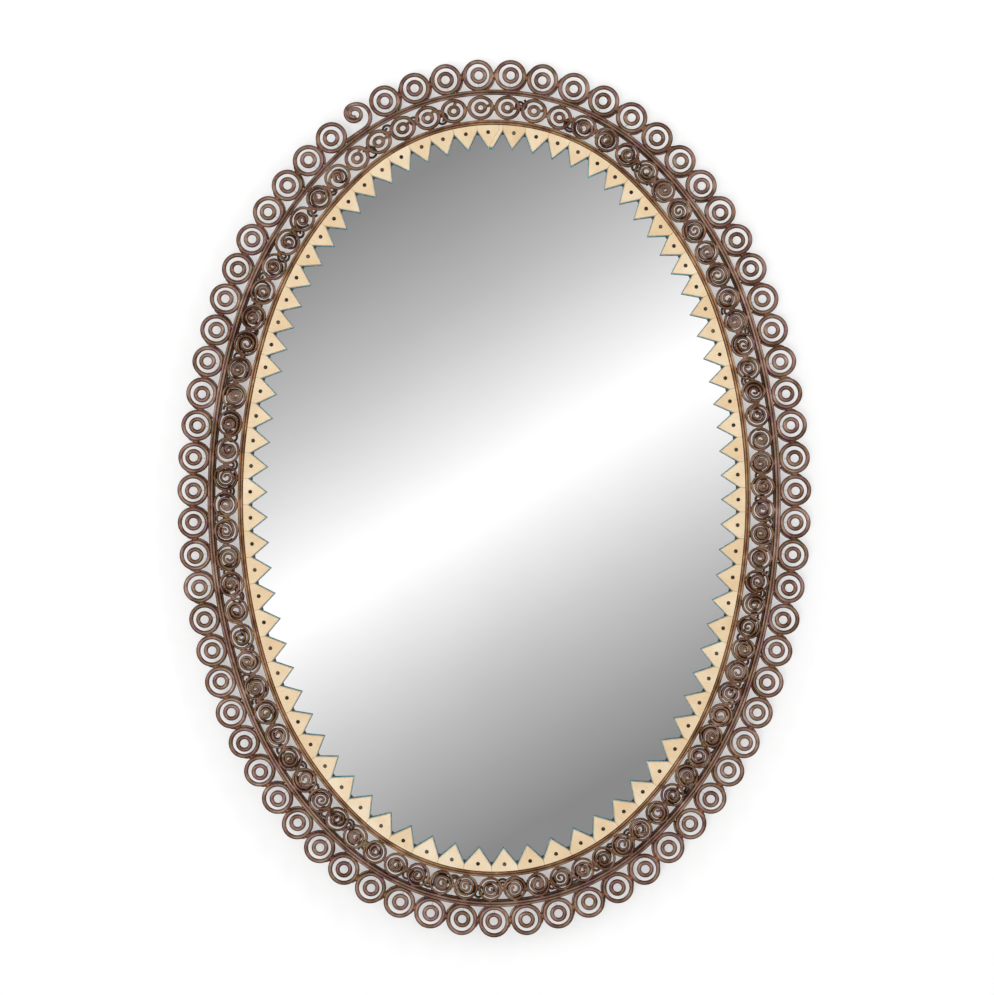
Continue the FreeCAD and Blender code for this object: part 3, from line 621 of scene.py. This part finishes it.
ringShares, freeShare = ringPlaces()
ringMeshes, eyeMeshes, linkMeshes = [{name: bmesh.new() for name in sectorNames}
                                     for kind in ("ring", "eye", "link")]
stays = bmesh.new()
for share in ringShares:
    sector = sectorOf(share)
    angle = ovalAngle(share, ringOffset)
    place = ovalPlace(angle, ringOffset, ringDepth)
    bm = bmesh.new()
    bendRing(bm, ringRadius, rings["wire"] * mm, rings["sides"], rings["steps"])
    stretch = offBy(rings["stretch"])
    lean = leanBy(rings["lean"], "X") @ Matrix.Diagonal((1 - stretch, 1, 1 + stretch, 1))
    bmesh.ops.transform(bm, matrix=place @ lean, verts=bm.verts)
    joinTo(ringMeshes[sector], bm)
    bm = bmesh.new()
    bendRing(bm, eyeRadius, eyes["wire"] * mm, rings["sides"], eyes["steps"])
    along, outwards = [offBy(limit) for limit in eyes["shift"]]
    nudge = Matrix.Translation(Vector((along, 0, outwards)) * mm)
    bmesh.ops.transform(bm, matrix=place @ nudge @ leanBy(eyes["lean"], "Z"), verts=bm.verts)
    joinTo(eyeMeshes[sector], bm)
    foot = ovalSpot(angle, ringOffset - rings["diameter"] / 2 * mm, eyes["stayDepth"] * mm)
    section = startWire(stays, foot, outwardAt(angle), eyes["stayWire"] * mm, eyes["staySides"])
    capWire(stays, section)
    reach = (rings["diameter"] / 2 - eyes["diameter"] / 2 + eyes["wire"]) * mm
    capWire(stays, runWire(stays, section, outwardAt(angle) * reach))
    drop = ringBraze["eyeSeam"]         # the ends of the eye's wire meet at its lowest point
    spot = ovalSpot(angle, ringOffset, ringDepth + drop["forward"] * mm) - axisZ * eyeRadius
    dropBead(lumps[sector], spot, drop["size"], drop["turn"])
    drop = ringBraze["fillet"]          # where the ring lies under the outer hoop
    for side in bothWays:
        spot = place @ Vector((side * drop["beside"] * mm, -drop["forward"] * mm,
                               drop["rise"] * mm - ringRadius))
        dropBead(lumps[sector], spot, drop["size"], drop["turn"])
for share, following in zip(ringShares, ringShares[1:] + ringShares[:1]):
    if share < freeShare < following:
        continue
    sector = sectorOf(share)
    first, second = [ovalSpot(ovalAngle(each, ringOffset), ringOffset, ringDepth - links["behind"] * mm)
                     for each in (share, following)]
    along = (second - first).normalized()
    inward = along.cross(front)
    reach = (second - first).length / 2
    sweep = math.radians(links["sweep"])
    begin = first + along * reach * math.cos(sweep) + inward * reach * math.sin(sweep)
    heading = along * math.sin(sweep) - inward * math.cos(sweep)
    middle = (first + second) / 2
    curl = middle + along * links["curl"] * mm      # this end hides behind the next ring
    bm = bmesh.new()
    section = startWire(bm, begin, heading, links["wire"] * mm, links["sides"])
    capWire(bm, section)
    section = bendWire(bm, section, first, -sweep, links["steps"])
    capWire(bm, bendWire(bm, section, curl, math.radians(links["hook"]), links["steps"]))
    joinTo(linkMeshes[sector], bm)
    drop = ringBraze["saddle"]          # between the two rings
    facing = topAngle - math.degrees(math.atan2(inward.z, inward.x))
    spot = middle + front * links["behind"] * mm + inward * offBy(drop["shift"]) * mm
    dropBead(saddles[sector], spot, drop["size"], (facing - drop["turn"], facing + drop["turn"]))
    drop = ringBraze["linkEnd"]
    if chance.random() < drop["share"]:
        spot = begin + front * chance.uniform(*drop["forward"]) * mm
        dropBead(lumps[sector], spot, drop["size"], drop["turn"])
for name in sectorNames:
    keepPiece("ringRow_" + name, ringMeshes[name], patina, ["rings_" + name])
    keepPiece("eyeRow_" + name, eyeMeshes[name], patina, ["ring_eyes_" + name])
    keepPiece("linkRow_" + name, linkMeshes[name], patina, ["ring_links_" + name])
keepPiece("eyeStays", stays, tin, ["eye_stays_" + name for name in sectorNames])
print("rings bent:", len(ringShares))

# spiral in which the wire of the outer row ends

endScroll = {"radius": 8.6, "wire": 4.3, "tail": 24, "shares": (0.5, 0.74, 1.0), "depth": 22.4,
             "sides": 10, "steps": 14}
bm = bmesh.new()
radii = [part * endScroll["radius"] * mm for part in endScroll["shares"]] + [ringRadius]
section, places = windSpiral(bm, radii, [0] * len(radii), endScroll["wire"] * mm, endScroll["sides"],
                             endScroll["steps"])
capWire(bm, runWire(bm, section, axisX * endScroll["tail"] * mm))
place = ovalPlace(ovalAngle(freeShare, ringOffset), ringOffset, endScroll["depth"] * mm)
flip = Matrix.Diagonal((-1, 1, 1, 1))
lower = Matrix.Translation((0, 0, -ringRadius - places[-1].z))      # the tail lies along the hoop
bmesh.ops.transform(bm, matrix=place @ flip @ lower, verts=bm.verts)
keepPiece("endSpiral", bm, patina, ["end_scroll"])
for name in sectorNames:
    keepPiece("brazeSaddles_" + name, saddles[name], braze)
    keepPiece("brazeLumps_" + name, lumps[name], patina)
print("end spiral wound")

# bone teeth and their pins

teeth = {"pitch": 26.4, "band": 5.6, "length": 24, "thickness": 3.5, "joint": 0.15, "start": 0.0044,
         "closing": 0.15, "closingFlank": 0.95, "growth": 0.09, "uneven": 0.04, "depth": 22.5,
         "baseSteps": 4, "edge": 0.2, "edgeSegments": 2, "tip": 0.7, "tipSegments": 3, "lean": 2.0,
         "paintedReflectionShare": 0.5}
# the profile runs from the crown of the head to its edge, in shares of half the head and of its height
pinShape = {"inset": 7.5, "head": 4.2, "height": 0.8, "shank": 1.8, "length": 6.5, "steps": 12,
            "profile": ((0, 1), (0.5, 0.8), (0.85, 0.35), (1, 0))}
toothDepth = teeth["depth"] * mm
sharpEdge = 0.5     # radians between two faces
nearby = 1e-6       # metres


def toothBounds(row):
    count = round(ovalLength(0) / mm / row["pitch"] - row["closing"])
    widths = [1 - row["growth"] * math.cos(fullTurn * (index + 0.5) / count)
              + row["uneven"] * math.sin(index * index) for index in range(count)] + [row["closing"]]
    bounds = [row["start"]]
    for width in widths:
        bounds.append(bounds[-1] + width / sum(widths))
    return bounds


def baseOf(first, last):
    joint = teeth["joint"] * mm / 2 / ovalLength(0)
    steps = teeth["baseSteps"]
    shares = [first + joint + (last - first - 2 * joint) * part / steps for part in range(steps + 1)]
    return [ovalAngle(share, 0) for share in shares]


def cornersOf(angles):      # where the straight flanks of a tooth begin
    return [ovalSpot(angle, -teeth["band"] * mm, toothDepth) for angle in (angles[-1], angles[0])]


def cutTooth(bm, tone, uvLayer, baseAngles, corners, middle, pointed=True):
    along, outward = outwardAt(middle).cross(front), outwardAt(middle)
    slant = outward * teeth["lean"] / 2 * mm      # the flanks lean in, so that their painted blue-green reflection shows
    corners = [corner - slant for corner in corners]
    known = set(bm.verts)
    base = [ovalSpot(angle, 0, toothDepth) for angle in baseAngles]
    face = bm.faces.new([bm.verts.new(point) for point in base + corners])
    grown = bmesh.ops.extrude_face_region(bm, geom=[face], use_keep_orig=True)["geom"]
    fore = [part for part in grown if isinstance(part, bmesh.types.BMVert)]
    inner = [vert for vert in fore if any((vert.co - corner).length < nearby for corner in corners)]
    bmesh.ops.translate(bm, verts=fore, vec=front * teeth["thickness"] * mm)
    bmesh.ops.translate(bm, verts=inner, vec=2 * slant)
    if pointed:     # round the point of the tooth
        upright = [edge for vert in inner for edge in vert.link_edges
                   if abs(edge.verts[0].co.y - edge.verts[1].co.y) > mm]
        point = min(upright, key=lambda edge: edge.verts[0].co.dot(outward))
        bmesh.ops.bevel(bm, geom=[point], offset=teeth["tip"] * mm, affect="EDGES",
                        segments=teeth["tipSegments"], profile=0.5, material=-1)
    sharp = once(edge for vert in vertsSince(bm, known) for edge in vert.link_edges
                 if edge.calc_face_angle(0) > sharpEdge)
    bmesh.ops.bevel(bm, geom=sharp, offset=teeth["edge"] * mm, affect="EDGES",
                    segments=teeth["edgeSegments"], profile=0.5, material=-1)
    reflectionDepth = toothDepth + teeth["paintedReflectionShare"] * teeth["thickness"] * mm
    own = vertsSince(bm, known)
    around = once(part for vert in own for part in (*vert.link_edges, *vert.link_faces))
    bmesh.ops.bisect_plane(bm, geom=own + around, plane_co=front * reflectionDepth, plane_no=front)
    shift = Vector((chance.uniform(0, 1), chance.uniform(0, 1)))
    ownTone = chance.uniform(0, 1)
    faces = once(face for vert in vertsSince(bm, known) for face in vert.link_faces)
    bmesh.ops.recalc_face_normals(bm, faces=faces)
    for face in faces:
        face[tone] = ownTone
        face.material_index = 1 if -face.calc_center_median().y < reflectionDepth else 0     # next to the glass: the painted reflection
        for loop in face.loops:
            loop[uvLayer].uv = shift + Vector((loop.vert.co.dot(along), loop.vert.co.dot(outward)))


def dropPin(bm, seat):
    known = set(bm.verts)
    head, shank, length = [pinShape[part] * mm for part in ("head", "shank", "length")]
    dome = [(reach * head / 2, -rise * pinShape["height"] * mm) for reach, rise in pinShape["profile"]]
    profile = dome + [(shank / 2, 0), (shank / 2, length), (0, length)]
    verts = [bm.verts.new((reach, deep, 0)) for reach, deep in profile]
    edges = [bm.edges.new(pair) for pair in zip(verts, verts[1:])]
    bmesh.ops.spin(bm, geom=verts + edges, cent=(0, 0, 0), axis=axisY, angle=fullTurn,
                   steps=pinShape["steps"], use_merge=True)
    bmesh.ops.remove_doubles(bm, verts=vertsSince(bm, known), dist=nearby)
    bmesh.ops.translate(bm, verts=vertsSince(bm, known), vec=seat)


def toothLayers(bm):
    return bm.faces.layers.float.new("toothTone"), bm.loops.layers.uv.new("UVMap")


toothMeshes = {name: bmesh.new() for name in sectorNames}
layers = {name: toothLayers(bm) for name, bm in toothMeshes.items()}
pins = bmesh.new()
bounds = toothBounds(teeth)
for first, last in zip(bounds[:-2], bounds[1:-1]):
    angles = baseOf(first, last)
    middle = ovalAngle((first + last) / 2, 0)
    right, left = cornersOf(angles)
    tip = ovalSpot(middle, -teeth["length"] * mm, toothDepth)
    sector = sectorOf((first + last) / 2)
    cutTooth(toothMeshes[sector], *layers[sector], angles, [right, tip, left], middle)
    dropPin(pins, ovalSpot(middle, -pinShape["inset"] * mm, toothDepth + teeth["thickness"] * mm))
flank = (tip - right) * teeth["closingFlank"]       # the closing strip follows the flank of the last tooth
for name, bm in toothMeshes.items():
    keepPiece("teeth_" + name, bm, [bone, paintedReflection], ["bone_teeth_" + name], smooth=False)
bm = bmesh.new()
angles = baseOf(bounds[-2], bounds[-1])
right, left = cornersOf(angles)
cutTooth(bm, *toothLayers(bm), angles, [right, right + flank, left + flank, left],
         angles[teeth["baseSteps"] // 2], False)
keepPiece("closingStrip", bm, [bone, paintedReflection], ["closing_tooth"], smooth=False)
keepPiece("toothPins", pins, nailIron, ["tooth_pins"])
print("teeth cut:", len(bounds) - 2)

# studio, in metres: white wall, gradient card that the mirror shows, lamps, camera

wallLook = {"size": 14, "behind": 0.0002, "paint": "#CECECE", "glow": 0.4}
# a half round card; a band crosses it on a slope, and each softbox glows on it;
# fall runs from the edge of the band to its bright middle
cardLook = {"radius": 4.2, "height": 6, "steps": 48, "tilt": 30.5, "reach": 0.79, "shift": 0.02,
            "strength": 1.03, "glow": 3.5, "glowSize": 1.6, "glowPlace": (3.12, -2.81, 1),
            "fall": [(0.01, "#8A8A8A"), (0.12, "#A4A4A4"), (0.215, "#BBBBBB"), (0.283, "#CDCDCD"),
                     (0.348, "#E0E0E0"), (0.41, "#F1F1F1"), (0.46, "#FFFFFF")]}
roomLook = {"front": 0.64, "beside": 0.02, "back": 0.7,
            "frontEnd": -0.9, "backFrom": 0.5, "backEnd": 0.95}


def stageObject(name, bm):
    mesh = bpy.data.meshes.new(name)
    bm.to_mesh(mesh)
    bm.free()
    piece = bpy.data.objects.new(name, mesh)
    bpy.context.scene.collection.objects.link(piece)
    return piece


bm = bmesh.new()
upright = Matrix.Translation((0, wallLook["behind"], 0)) @ Matrix.Rotation(math.pi / 2, 4, "X")
bmesh.ops.create_grid(bm, x_segments=1, y_segments=1, size=wallLook["size"] / 2, matrix=upright)
wall = stageObject("wall", bm)
wall.visible_shadow = wall.visible_diffuse = wall.visible_glossy = False
# Matt white wall paint, not seen from behind so that the back of the mirror can be looked at
paint, tree, shader, coords = newMaterial("whiteWallPaint", Base_Color=linear(wallLook["paint"]),
                                          Roughness=0.9, Specular_IOR_Level=0,
                                          Emission_Color=linear("#FFFFFF"),
                                          Emission_Strength=wallLook["glow"])
face = addNode(tree, "ShaderNodeNewGeometry")
clear = addNode(tree, "ShaderNodeBsdfTransparent")
mixed = addNode(tree, "ShaderNodeMixShader", {}, {0: face.outputs["Backfacing"], 1: shader.outputs["BSDF"],
                                                  2: clear.outputs["BSDF"]})
tree.links.new(mixed.outputs["Shader"], tree.nodes["Material Output"].inputs["Surface"])
wall.data.materials.append(paint)

bm = bmesh.new()
low, high = [bm.verts.new((cardLook["radius"], 0, side * cardLook["height"] / 2)) for side in bothWays]
edge = bm.edges.new((low, high))
bmesh.ops.spin(bm, geom=[low, high, edge], cent=(0, 0, 0), axis=axisZ, angle=-math.pi,
               steps=cardLook["steps"])
card = stageObject("gradientCard", bm)
card.visible_camera = card.visible_shadow = card.visible_diffuse = False
# White card lit in a band: bright in the middle, grey towards its edges
glow, tree, shader, coords = newMaterial("gradientCardLight")
slope = math.radians(cardLook["tilt"])
across = addNode(tree, "ShaderNodeVectorMath",
                 {"operation": "DOT_PRODUCT", 1: (-math.sin(slope), 0, math.cos(slope))},
                 {0: coords.outputs["Object"]})
spread = addNode(tree, "ShaderNodeMapRange", {"From Min": cardLook["shift"] - cardLook["reach"],
                                              "From Max": cardLook["shift"] + cardLook["reach"]},
                 {"Value": across.outputs["Value"]})
mirrored = [(1 - place, code) for place, code in cardLook["fall"][::-1]]
bands = addNode(tree, "ShaderNodeValToRGB", {"stops": cardLook["fall"] + mirrored},
                {"Fac": spread.outputs["Result"]})
shine = bands.outputs["Color"]
for side in bothWays:
    beside, ahead, above = cardLook["glowPlace"]
    away = addNode(tree, "ShaderNodeVectorMath", {"operation": "DISTANCE", 1: (side * beside, ahead, above)},
                   {0: coords.outputs["Object"]})
    glowing = addNode(tree, "ShaderNodeMapRange",
                      {"interpolation_type": "SMOOTHSTEP", "From Max": cardLook["glowSize"],
                       "To Min": cardLook["glow"], "To Max": 0},
                      {"Value": away.outputs["Value"]})
    shine = addNode(tree, "ShaderNodeVectorMath", {"operation": "ADD"},
                    {0: shine, 1: glowing.outputs["Result"]}).outputs["Vector"]
light = addNode(tree, "ShaderNodeEmission", {"Strength": cardLook["strength"]}, {"Color": shine})
tree.links.new(light.outputs["Emission"], tree.nodes["Material Output"].inputs["Surface"])
card.data.materials.append(glow)

# the camera sees white; the room that the object sees is bright in front and far behind, and dark beside it
world = bpy.data.worlds.new("studio")
bpy.context.scene.world = world
world.use_nodes = True
tree = world.node_tree
tree.nodes.clear()
heading = addNode(tree, "ShaderNodeTexCoord")
parts = addNode(tree, "ShaderNodeSeparateXYZ", {}, {0: heading.outputs["Generated"]})
level = addNode(tree, "ShaderNodeMapRange",
                {"From Min": roomLook["frontEnd"], "From Max": 0, "To Min": roomLook["front"],
                 "To Max": roomLook["beside"]}, {"Value": parts.outputs["Y"]})
rear = addNode(tree, "ShaderNodeMapRange",
               {"From Min": roomLook["backFrom"], "From Max": roomLook["backEnd"],
                "To Max": roomLook["back"]}, {"Value": parts.outputs["Y"]})
room = addNode(tree, "ShaderNodeMath", {"operation": "ADD"},
               {0: level.outputs["Result"], 1: rear.outputs["Result"]})
ray = addNode(tree, "ShaderNodeLightPath")
seen = addNode(tree, "ShaderNodeMath", {"operation": "MAXIMUM"},
               {0: room.outputs["Value"], 1: ray.outputs["Is Camera Ray"]})
sky = addNode(tree, "ShaderNodeBackground", {"Color": (1, 1, 1, 1)}, {"Strength": seen.outputs["Value"]})
addNode(tree, "ShaderNodeOutputWorld", {}, {"Surface": sky.outputs["Background"]})

# the softboxes are not seen in reflections, because the card carries their glow
lamps = {"keyLamp": {"kind": "SUN", "energy": 0.98, "spot": (-0.45, -3, -0.55), "aim": (0, 0, 0),
                     "glossy": True, "settings": {"angle": math.radians(25)}},
         "behindLamp": {"kind": "SUN", "energy": 1.9, "spot": (0.6, 3, 1.2), "aim": (0, 0, 0),
                        "glossy": False, "settings": {"angle": math.radians(60)}},
         "leftSoftbox": {"kind": "AREA", "energy": 8, "spot": (-1.5, -1.35, 0.4), "aim": (-0.15, 0, 0),
                         "glossy": False, "settings": {"shape": "RECTANGLE", "size": 0.6, "size_y": 1.3}},
         "rightSoftbox": {"kind": "AREA", "energy": 12.5, "spot": (1.5, -1.35, 0.9), "aim": (0.15, 0, 0),
                          "glossy": False, "settings": {"shape": "RECTANGLE", "size": 0.6, "size_y": 1.3}}}
for name, lamp in lamps.items():
    data = bpy.data.lights.new(name, lamp["kind"])
    data.energy = lamp["energy"]
    for setting, value in lamp["settings"].items():
        setattr(data, setting, value)
    hung = bpy.data.objects.new(name, data)
    hung.location = lamp["spot"]
    hung.rotation_euler = (Vector(lamp["aim"]) - Vector(lamp["spot"])).to_track_quat("-Z", "Y").to_euler()
    hung.visible_glossy = lamp["glossy"]
    bpy.context.scene.collection.objects.link(hung)

# the picture is frameWidth metres wide in the plane of the teeth
shot = {"distance": 3.0, "frameWidth": 1.0348, "plane": 0.024, "aimX": 0.0029, "aimZ": 0.0008, "sensor": 36}
cameraData = bpy.data.cameras.new("camera")
cameraData.sensor_fit = "HORIZONTAL"
cameraData.sensor_width = shot["sensor"]
cameraData.lens = shot["sensor"] * (shot["distance"] - shot["plane"]) / shot["frameWidth"]
camera = bpy.data.objects.new("camera", cameraData)
camera.location = (shot["aimX"], -shot["distance"], shot["aimZ"])
camera.rotation_euler = (math.pi / 2, 0, 0)
bpy.context.scene.collection.objects.link(camera)
bpy.context.scene.camera = camera
bpy.context.scene.view_settings.view_transform = "Standard"
print("studio set")
